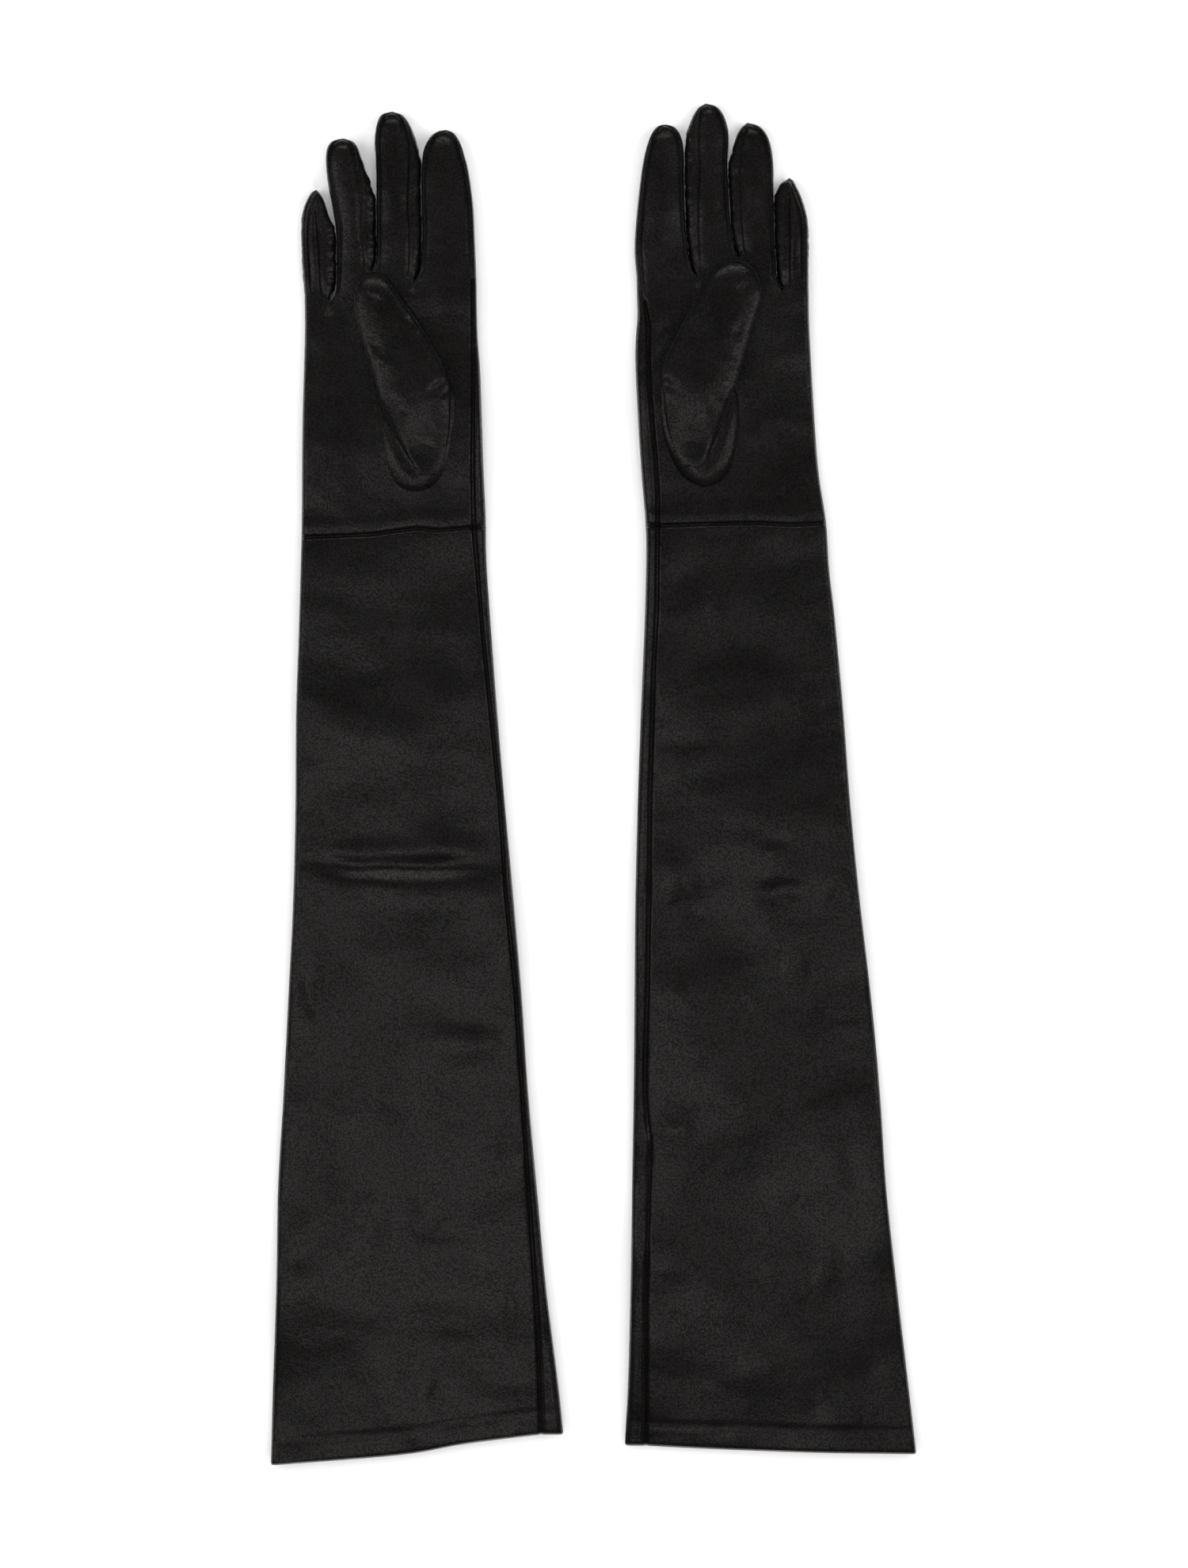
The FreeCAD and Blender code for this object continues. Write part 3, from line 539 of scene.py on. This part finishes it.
def body_rows(glove, frac_low, frac_high, low_line, high_line, rows, tops, mix):
    """Rows of the arm or the hand between two lines that run across the glove."""
    left, right = by_level(glove["little_edge"]), by_level(glove["side_seam"])
    outer = by_level(glove["thumb_edge"])
    share = np.asarray(rows)[:, None]
    f = frac_low[None] * (1 - mix(share)) + frac_high[None] * mix(share)
    y = low_line[None] * (1 - share) + high_line[None] * share
    u = (left(y) + FOLD_ROUND) * (1 - f) + right(y) * f
    z = tops(share) + np.zeros_like(u)
    upper = np.stack([u, y, z], -1)
    lower = np.stack([u, y, np.full_like(u, FLOOR_GAP)], -1)
    low_out = np.tile([-1.0, 0.0], (len(rows), 1))
    high_out = np.tile([1.0, 0.0], (len(rows), 1))
    wall_low = wall(upper[:, 0, :2], low_out, np.full(len(rows), FOLD_ROUND), z[:, 0], lower[:, 0, 2], 1.0)
    wide = np.maximum(outer(y[:, -1]) - u[:, -1], 0.8)
    wall_high = wall(upper[:, -1, :2], high_out, wide, z[:, -1], lower[:, -1, 2], 0.75)
    return upper, lower, wall_low, wall_high


def ring(upper, lower, wall_low, wall_high):
    """Closed rows round the whole glove."""
    return np.concatenate([upper, wall_high[:, 1:-1], lower[:, ::-1], wall_low[:, ::-1][:, 1:-1]], 1)


def inner(rows, gap):
    """The same rows with room for the leather outside them, most of it above."""
    low, high = rows.min(1, keepdims=True), rows.max(1, keepdims=True)
    side_gap = np.minimum(gap, 0.3 * (high - low)[..., 0])
    deep = np.maximum((high - low)[..., 2], 1e-6)
    made = rows.copy()
    made[..., 0] = np.clip(rows[..., 0], low[..., 0] + side_gap, high[..., 0] - side_gap)
    made[..., 2] = low[..., 2] + 0.4 * gap + (rows - low)[..., 2] * np.clip(1 - 1.6 * gap / deep, 0.1, 1)
    return made


def stitches(name, line, side, length, pitch, radius):
    """Short raised threads lying along a line of 3-D points."""
    run = lengths(line)
    count = max(1, int(run[-1] / pitch))
    verts, faces = [], []
    for n in range(count):
        centre = (n + 0.5) * run[-1] / count
        ends = [np.array([np.interp(centre + s, run, line[:, k]) for k in range(3)]) for s in
                (-length / 2, -length / 3.2, 0, length / 3.2, length / 2)]
        ahead = ends[-1] - ends[0]
        ahead /= np.linalg.norm(ahead)
        right = np.cross(ahead, (0, 0, 1))
        right /= np.linalg.norm(right)
        base = len(verts)
        for point, size, drop in zip(ends, (0.35, 0.9, 1, 0.9, 0.35), (1.1, 0.35, 0, 0.35, 1.1)):
            for k in range(6):
                turn = math.tau * k / 6
                verts.append(point + radius * size * (right * math.cos(turn)
                                                      + np.array((0, 0, 1)) * math.sin(turn))
                             - np.array((0, 0, radius * drop * 0.8)))
        for row in range(4):
            for k in range(6):
                q = (base + row * 6 + k, base + row * 6 + (k + 1) % 6,
                     base + row * 6 + 6 + (k + 1) % 6, base + row * 6 + 6 + k)
                faces.append(q if side > 0 else q[::-1])
        faces.append(tuple(base + k for k in range(6))[::-side])
        faces.append(tuple(base + 24 + k for k in range(6))[::side])
    points = np.array(verts)
    points[:, 0] *= side
    mesh = bpy.data.meshes.new(name)
    mesh.from_pydata(points * MM, [], faces)
    mesh.shade_smooth()
    made = bpy.data.objects.new(name, mesh)
    bpy.context.scene.collection.objects.link(made)
    return made


def nodes_of(name):
    material = bpy.data.materials.new(name)
    material.use_nodes = True
    tree = material.node_tree
    return material, tree, tree.nodes["Principled BSDF"]


def add(tree, kind, **settings):
    node = tree.nodes.new(kind)
    for key, value in settings.items():
        if key in node.inputs:
            node.inputs[key].default_value = value
        else:
            setattr(node, key, value)
    return node


def textured(name, dark, light, rough, cell, bump, sheen, gloss):
    """A soft hide or cloth: colour, roughness and relief all vary with the grain."""
    material, tree, shader = nodes_of(name)
    link = tree.links.new
    where = add(tree, "ShaderNodeTexCoord").outputs["Object"]
    grain = add(tree, "ShaderNodeTexVoronoi", feature="F1", Scale=1 / cell, Randomness=1.0)
    fine = add(tree, "ShaderNodeTexNoise", Scale=3.2 / cell, Detail=3.0, Roughness=0.6)
    broad = add(tree, "ShaderNodeTexNoise", Scale=45.0, Detail=4.0, Roughness=0.55)
    for node in (grain, fine, broad):
        link(where, node.inputs["Vector"])
    hue = add(tree, "ShaderNodeValToRGB")
    hue.color_ramp.elements[0].position = 0.30
    hue.color_ramp.elements[1].position = 0.75
    hue.color_ramp.elements[0].color = (*dark, 1)
    hue.color_ramp.elements[1].color = (*light, 1)
    link(broad.outputs["Fac"], hue.inputs["Fac"])
    link(hue.outputs["Color"], shader.inputs["Base Color"])
    dull = add(tree, "ShaderNodeMapRange")
    dull.inputs["To Min"].default_value = rough[0]
    dull.inputs["To Max"].default_value = rough[1]
    link(broad.outputs["Fac"], dull.inputs["Value"])
    link(dull.outputs["Result"], shader.inputs["Roughness"])
    creases = add(tree, "ShaderNodeTexNoise", Scale=0.33 / cell, Detail=5.0, Roughness=0.62, Distortion=0.6)
    link(where, creases.inputs["Vector"])
    first = add(tree, "ShaderNodeBump", Strength=bump[0], Distance=bump[1] * 2.2)
    link(creases.outputs["Fac"], first.inputs["Height"])
    low = add(tree, "ShaderNodeBump", Strength=bump[0], Distance=bump[1])
    link(grain.outputs["Distance"], low.inputs["Height"])
    link(first.outputs["Normal"], low.inputs["Normal"])
    high = add(tree, "ShaderNodeBump", Strength=bump[0] * 0.6, Distance=bump[1] * 0.5)
    link(fine.outputs["Fac"], high.inputs["Height"])
    link(low.outputs["Normal"], high.inputs["Normal"])
    link(high.outputs["Normal"], shader.inputs["Normal"])
    shader.inputs["Specular Tint"].default_value = (1.0, 0.955, 0.935, 1)
    shader.inputs["Sheen Weight"].default_value = sheen
    shader.inputs["Sheen Roughness"].default_value = 0.4
    shine = add(tree, "ShaderNodeMapRange")
    shine.inputs["From Max"].default_value = 0.7
    shine.inputs["To Min"].default_value = gloss * 1.45
    shine.inputs["To Max"].default_value = gloss * 0.45
    link(grain.outputs["Distance"], shine.inputs["Value"])
    link(shine.outputs["Result"], shader.inputs["Specular IOR Level"])
    return material


LOOKS = {
    "leather": textured("black_kid_leather", (0.0020, 0.0018, 0.0017), (0.0040, 0.0036, 0.0035), (0.24, 0.35),
                        0.0010, (0.5, 0.00009), 0.0, 0.6),
    "leather_inside": textured("flesh_side_leather", (0.09, 0.085, 0.08), (0.15, 0.143, 0.135), (0.85, 0.97),
                               0.0006, (0.5, 0.0003), 0.25, 0.3),
    "lining": textured("black_satin_lining", (0.012, 0.012, 0.014), (0.02, 0.02, 0.023), (0.30, 0.42),
                       0.0004, (0.25, 0.0001), 0.15, 0.5),
    "thread": textured("black_thread", (0.006, 0.0055, 0.005), (0.012, 0.011, 0.0105), (0.42, 0.6),
                       0.0003, (0.4, 0.0001), 0.1, 0.4),
}


def finish_piece(piece, look, nodes):
    piece.data.materials.append(LOOKS[look])
    if nodes:
        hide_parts(*nodes)
    return piece


JOINTS = {j["name"]: j for j in frame["joints"]}
FINGER_COUNTS = {"little": 7, "ring": 9, "middle": 10, "index": 13}
ARM_ROWS = 210
HAND_ROWS = 64
ARM_RUN = 465           # about how long the arm and the hand are
HAND_RUN = 122
HEM_DEPTH = 10.5        # hem stitches to the cut edge
HEM_STITCH = (1.9, 2.5, 0.24)       # length, pitch and radius
SEAM_STITCH = (1.1, 1.9, 0.17)
# how far beyond its joint each zone handed to bend reaches, in metres; bend only bakes the transform and does
# not read the zone
ARM_BEND = 0.040
WRIST_BEND = 0.020
FINGER_BEND = 0.028
THUMB_BEND = 0.025


def bend(piece, fixed, moving, start, end):
    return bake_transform(piece)


def build_glove(hand, data, seed):
    side = data["side"]
    glove = {k: mirrored(v, side) for k, v in data.items()}
    glove["seed"] = seed
    glove["seams"] = [
        (glove["side_seam"], 0.9, -1.7),
        ([(u + 2.4, y) for u, y in glove["side_seam"]], 1.1, 0.35),
        (glove["fingers"]["index"]["b"][:-2], 0.8, -0.45),
        (glove["wrist"], 0.75, -1.3),
        ([(u, y + 5.5) for u, y in glove["wrist"]], 3.0, 0.4),
        ([(u, y + HEM_DEPTH) for u, y in glove["hem"]], 0.9, -0.5),
    ]
    for u, y in glove["row"][1:-1]:
        glove["seams"].append(([(u, y - 1.0), (u, y + 4.0)], 4.6, -CROTCH_DIP))

    corners = np.array(glove["row"], float)
    corners[0, 0] += FOLD_ROUND
    fingers = {name: finger(glove, name, corners[k:k + 2], FINGER_COUNTS[name])
               for k, name in enumerate(ORDER)}
    top_row = np.concatenate([fingers[n][0][0][(0 if n == "little" else 1):, :2] for n in ORDER])
    left, right = by_level(glove["little_edge"]), by_level(glove["side_seam"])
    inside = left(top_row[:, 1]) + FOLD_ROUND
    frac_top = (top_row[:, 0] - inside) / (right(top_row[:, 1]) - inside)
    frac_top[0], frac_top[-1] = 0, 1
    frac_even = shares_across(110, len(frac_top) - 2 * len(SEAM_STEPS) + 2)
    wrist, hem = by_level(glove["wrist"], 0), by_level(glove["hem"], 0)

    def line_at(line, frac, guess):
        y = np.full(len(frac), float(guess))
        for _ in range(4):
            y = line((left(y) + FOLD_ROUND) * (1 - frac) + right(y) * frac)
        return y

    wrist_y = line_at(wrist, frac_even, 128)
    hem_y = line_at(hem, frac_even, -335)
    hem_share = HEM_DEPTH / ARM_RUN
    near_hem = np.linspace(0, hem_share, 6)
    near_wrist = np.array([2.6, 1.7, 1.1, 0.7, 0.35, 0]) / ARM_RUN
    rows = np.concatenate([near_hem, np.linspace(hem_share, 1 - 4.2 / ARM_RUN, ARM_ROWS)[1:], 1 - near_wrist])
    arm = body_rows(glove, frac_even, frac_even, hem_y, wrist_y, rows,
                    lambda s: ARM_TOP + (WRIST_TOP - ARM_TOP) * s, lambda s: s * 0)
    hand_rows = np.concatenate([np.array([0, 0.35, 0.7, 1.1, 1.7, 2.6]) / HAND_RUN,
                                np.linspace(4.2 / HAND_RUN, 1, HAND_ROWS)])
    palm = body_rows(glove, frac_even, frac_top, wrist_y, top_row[:, 1], hand_rows,
                     lambda s: WRIST_TOP + (PALM_TOP - WRIST_TOP) * smooth(s * 2), smooth)
    palm[3][-1] = fingers["index"][3][0]
    palm[2][-1] = fingers["little"][2][0]
    for face in (0, 1):
        palm[face][-1] = np.concatenate([fingers[n][face][0][(0 if n == "little" else 1):] for n in ORDER])

    arm = [relief(glove, p) for p in arm]
    palm = [relief(glove, p) for p in palm]
    fingers = {n: [relief(glove, p) for p in parts] for n, parts in fingers.items()}

    skin = Skin(side)
    for piece, (up, low, wall_low, wall_high) in ((f"{hand}_arm_leather", arm),
                                                  (f"{hand}_hand_leather", palm)):
        skin.add(piece, up)
        skin.add(piece, low[:, ::-1])
        skin.add(piece, wall_low[:, ::-1])
        skin.add(piece, wall_high)
    arm_ring = ring(*arm)
    hem_in = inner(arm_ring[:1], 0.55)
    hem_in[..., 1] -= 0.8
    hem_deep = inner(arm_ring[:1], SKIN)
    hem_deep[..., 1] += 0.5
    lip = np.concatenate([hem_deep, hem_in, arm_ring[:1]])
    skin.add(f"{hand}_hem_edge", np.concatenate([lip, lip[:, :1]], 1))
    for name in ORDER:
        up, low, wall_a, wall_b = fingers[name]
        skin.add(f"{hand}_{name}_leather", up)
        skin.add(f"{hand}_{name}_leather", low[:, ::-1])
        skin.add(f"{hand}_{name}_leather" if name == "little" else f"{hand}_{name}_little_side_leather",
                 wall_a[:, ::-1])
        skin.add(f"{hand}_{name}_leather" if name == "index" else f"{hand}_{name}_thumb_side_leather", wall_b)
    pieces = skin.build()

    fore, arm_body, palm_body = f"{hand}_forearm", f"{hand}_upper_arm", f"{hand}_hand"
    fold_y = JOINTS[f"{hand}_arm_fold"]["pos_m"][1]
    wrist_m = JOINTS[f"{hand}_wrist_fold"]["pos_m"][1]
    arm_zone = ((0, fold_y, 0), (0, fold_y - ARM_BEND, 0))
    wrist_zone = ((0, wrist_m, 0), (0, wrist_m + WRIST_BEND, 0))

    piece = finish_piece(pieces[f"{hand}_arm_leather"], "leather",
                         [f"{hand}_forearm_panel", f"{hand}_upper_arm_panel"])
    bend(piece, fore, arm_body, *arm_zone)
    piece = finish_piece(pieces[f"{hand}_hand_leather"], "leather", [f"{hand}_hand_shell"])
    bend(piece, fore, palm_body, *wrist_zone)

    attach(finish_piece(pieces[f"{hand}_hem_edge"], "leather_inside", []), arm_body)
    facing_rows = inner(arm_ring[:8], SKIN)
    facing_rows[0, :, 1] += 0.5
    facing = finish_piece(shell(f"{hand}_hem_facing_leather", facing_rows[:, ::-1], side), "leather_inside",
                          [f"{hand}_hem_facing"])
    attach(facing, arm_body)
    lining_rows = inner(arm_ring[7:-1], SKIN + 0.3)
    lining = finish_piece(shell(f"{hand}_arm_lining", lining_rows[:, ::-1], side), "lining",
                          [f"{hand}_forearm_lining", f"{hand}_upper_arm_lining"])
    bend(lining, fore, arm_body, *arm_zone)
    palm_ring = ring(*palm)
    lining = finish_piece(shell(f"{hand}_palm_lining", inner(palm_ring[1:-4], SKIN + 0.3)[:, ::-1], side),
                          "lining", [f"{hand}_hand_lining"])
    bend(lining, fore, palm_body, *wrist_zone)

    def allowance(name, rows, node, blend_to, zone):
        """A strip of leather under the seam, attached to a body, or only baked in place when a zone is given.
        """
        strip = np.stack([rows[:, k] for k in (-6, -4, -2)], 1)
        strip = strip - np.array([0, 0, 0.9])
        made = finish_piece(shell(name, strip, side, closed=False), "leather_inside", [node])
        if zone:
            bend(made, fore, blend_to, *zone)
        else:
            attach(made, blend_to)

    arm_top, palm_top = arm[0], palm[0]
    split = int(np.argmin(np.abs(arm_top[:, -1, 1] - fold_y / MM)))
    allowance(f"{hand}_forearm_allowance", arm_top[split:-2], f"{hand}_forearm_seam_allowance", fore, None)
    allowance(f"{hand}_upper_arm_allowance", arm_top[9:split + 1], f"{hand}_upper_arm_seam_allowance",
              arm_body, arm_zone)
    allowance(f"{hand}_hand_allowance", palm_top[2:-6], f"{hand}_hand_seam_allowance", palm_body, wrist_zone)
    band = arm_top[-4:-1, 3:-8] - np.array([0, 0, 0.9])
    made = finish_piece(shell(f"{hand}_wrist_allowance", band, side, closed=False), "leather_inside",
                        [f"{hand}_wrist_seam_allowance"])
    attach(made, fore)

    hem_line = arm_top[5].copy()
    hem_line[:, 2] += 0.12
    thread = finish_piece(stitches(f"{hand}_hem_stitches", hem_line[1:-1], side, *HEM_STITCH), "thread",
                          [f"{hand}_hem_thread"])
    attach(thread, arm_body)

    def seam_stitches(name, line, fixed, moving, zone):
        made = finish_piece(stitches(name, line, side, *SEAM_STITCH), "thread", [])
        bend(made, fixed, moving, *zone)

    seam_stitches(f"{hand}_arm_seam_stitches", arm[3][3:-1, 1] + np.array([0, 0, 0.1]),
                  fore, arm_body, arm_zone)
    seam_stitches(f"{hand}_hand_seam_stitches", palm[3][1:, 1] + np.array([0, 0, 0.1]),
                  fore, palm_body, wrist_zone)

    for name in ORDER:
        up, low, wall_a, wall_b = fingers[name]
        joint = JOINTS[f"{hand}_{name}_flex"]
        zone = ((0, joint["pos_m"][1], 0), (0, joint["pos_m"][1] + FINGER_BEND, 0))
        body = f"{hand}_{name}"
        made = finish_piece(pieces[f"{hand}_{name}_leather"], "leather", [f"{hand}_{name}_finger"])
        bend(made, palm_body, body, *zone)
        for which in ("thumb_side", "little_side"):
            key = f"{hand}_{name}_{which}_leather"
            if key in pieces:
                made = finish_piece(pieces[key], "leather", [f"{hand}_{name}_fourchette_{which}"])
                bend(made, palm_body, body, *zone)
        rows = inner(ring(up, low, wall_a, wall_b)[3:-3], SKIN)
        made = finish_piece(shell(f"{hand}_{name}_inner_lining", rows[:, ::-1], side), "lining",
                            [f"{hand}_{name}_lining"])
        bend(made, palm_body, body, *zone)
        line_a, line_b = up[2:, 2] + np.array([0, 0, 0.08]), up[2:, -3] + np.array([0, 0, 0.08])
        line = np.concatenate([line_a[:-6], line_b[-6:1:-1]])
        seam_stitches(f"{hand}_{name}_stitches", line, palm_body, body, zone)

    thumb = glove["thumb"]
    joint = JOINTS[f"{hand}_thumb_lift"]
    pivot = np.array(joint["pos_m"])
    heading = np.cross((0, 0, 1), joint["axis"])
    heading *= np.sign(heading[1]) / np.linalg.norm(heading)
    turn = np.linspace(0, math.tau, 56, endpoint=False) + 1e-9
    x = -np.sign(np.cos(turn)) * np.abs(np.cos(turn)) ** 0.8
    z = np.sign(np.sin(turn)) * np.abs(np.sin(turn)) ** 0.8
    lows, highs = by_level(thumb["base_inner"]), by_level(thumb["base_outer"])
    foot_y, head_y = thumb["base_inner"][0][1], thumb["base_inner"][-1][1]

    def pouch(plan):
        """Height of the thumb's pouch over the palm."""
        u, y = plan[..., 0], plan[..., 1]
        f = (u - lows(y)) / np.maximum(highs(y) - lows(y), 1)
        bulge = np.clip(1 - np.abs(2 * f - 1) ** 3, 0, 1) ** 0.5
        ends = np.clip(1 - np.abs(2 * (y - foot_y) / (head_y - foot_y) - 1) ** 5, 0, 1) ** 0.5
        dip = np.exp(-(distance(plan.reshape(-1, 2), thumb["crease"]) / 1.7) ** 2).reshape(u.shape)
        soft = 0.4 * waves(plan.reshape(-1, 2), 12, 12, seed + 41).reshape(u.shape)
        return (POUCH_FOOT + (POUCH_RISE + soft) * bulge * ends
                - 2.0 * dip * bulge * smooth((y - foot_y - 5) / 14))

    count = 110
    share = (1 - np.cos(math.pi * np.linspace(0, 1, count))) / 2 * 0.35 + np.linspace(0, 1, count) * 0.65
    a, b = along(dense(thumb["inner"]), share), along(dense(thumb["outer"]), share)
    reach = np.linalg.norm((a + b) / 2 - (a[-1] + b[-1]) / 2, axis=1)
    start = np.linalg.norm((a + b) / 2 - a[0], axis=1)
    tip = np.sqrt(np.clip(1 - (1 - np.clip(reach / 12, 0, 1)) ** 2, 0, 1))
    half = 0.9 + 2.35 * tip
    mid, spread = (a + b) / 2, (b - a) / 2
    plan = mid[:, None] + spread[:, None] * x[None, :, None]
    free = 8.3 + half[:, None] * (1 + z[None])
    upper = smooth((z + 0.1) / 0.5)[None]
    sunk = 6.0 + (pouch(plan) + 0.12 - 6.0) * upper
    rise = smooth((start - 14) / 34)[:, None]
    height = free * rise + sunk * (1 - rise)
    height -= 1.5 * (1 - smooth(start / 5))[:, None]
    rows = np.concatenate([plan, height[..., None]], 2)
    flat = rows.reshape(-1, 3)
    lift = sum(fold(flat[:, :2], line, THUMB_FOLD_SPREAD * w, h) for line, w, h in glove["thumb_strokes"])
    for high, across, up, where in THUMB_WAVES:
        lift = lift + high * waves(flat[:, :2], across, up, seed + where)
    flat[:, 2] += lift * np.tile(upper[0], count) * np.repeat(tip * smooth(start / 20), len(x))
    leather = finish_piece(shell(f"{hand}_thumb_leather", rows, side), "leather", [f"{hand}_thumb"])
    zone = (pivot, pivot + heading * THUMB_BEND)
    bend(leather, palm_body, f"{hand}_thumb", *zone)
    lining = finish_piece(shell(f"{hand}_thumb_inner_lining", inner(rows[30:-6], SKIN), side), "lining",
                          [f"{hand}_thumb_lining"])
    bend(lining, palm_body, f"{hand}_thumb", *zone)

    share = (1 - np.cos(math.pi * np.linspace(0, 1, 90))) / 2
    a, b = along(dense(thumb["base_inner"]), share), along(dense(thumb["base_outer"]), share)
    plan = (a + b)[:, None] / 2 + (b - a)[:, None] / 2 * x[None, :, None]
    under = POUCH_FOOT - 0.6
    height = under + (pouch(plan) - under) * smooth((z + 0.05) / 0.25)[None]
    rows = np.concatenate([plan, height[..., None]], 2)
    made = finish_piece(shell(f"{hand}_thumb_base_leather", rows, side), "leather", [f"{hand}_thumb_base"])
    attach(made, palm_body)


build_glove("right", RIGHT, 3.7)
build_glove("left", LEFT, 11.3)

floor_mesh = bpy.data.meshes.new("floor")
floor_mesh.from_pydata([(-4, -4, 0), (4, -4, 0), (4, 4, 0), (-4, 4, 0)], [], [(0, 1, 2, 3)])
floor = bpy.data.objects.new("floor", floor_mesh)
bpy.context.scene.collection.objects.link(floor)
paper, _, paper_shader = nodes_of("paper")
paper_shader.inputs["Base Color"].default_value = (0.93, 0.93, 0.93, 1)
paper_shader.inputs["Roughness"].default_value = 0.9
floor_mesh.materials.append(paper)


def area(name, place, size, power, glossy=True):
    light = bpy.data.lights.new(name, "AREA")
    light.shape = "RECTANGLE"
    light.size, light.size_y = size
    light.energy = power
    lamp = bpy.data.objects.new(name, light)
    bpy.context.scene.collection.objects.link(lamp)
    lamp.location = place
    lamp.rotation_euler = (-Vector(place)).to_track_quat("-Z", "Y").to_euler()
    lamp.visible_glossy = glossy


area("fill_left", (-1.75, 0.1, 1.55), (2.0, 0.8), 30, False)
area("fill_right", (1.75, 0.1, 1.55), (2.0, 0.8), 30, False)
area("fill_top", (0.0, 1.9, 1.5), (1.8, 0.8), 26, False)
area("fill_foot", (0.0, -1.9, 1.6), (1.8, 0.8), 28, False)
area("overhead", (-0.16, -0.60, 3.0), (0.75, 0.5), 2.6)
area("strip_left", (-1.45, 0.1, 2.0), (0.28, 2.0), 4.2)
area("strip_right", (1.45, 0.1, 2.0), (0.28, 2.0), 4.2)
area("strip_top", (0.0, 1.75, 2.0), (1.6, 0.35), 5.0)

world = bpy.data.worlds.new("studio")
world.use_nodes = True
world.node_tree.nodes["Background"].inputs["Color"].default_value = (1, 1, 1, 1)
world.node_tree.nodes["Background"].inputs["Strength"].default_value = 0.05
bpy.context.scene.world = world

camera_data = bpy.data.cameras.new("camera")
camera_data.lens = 85
camera_data.sensor_width = 36
camera_data.clip_end = 20
camera = bpy.data.objects.new("camera", camera_data)
bpy.context.scene.collection.objects.link(camera)
camera.location = (0.0004, -0.0004, 1.8725)
bpy.context.scene.camera = camera
bpy.context.scene.view_settings.view_transform = "Standard"
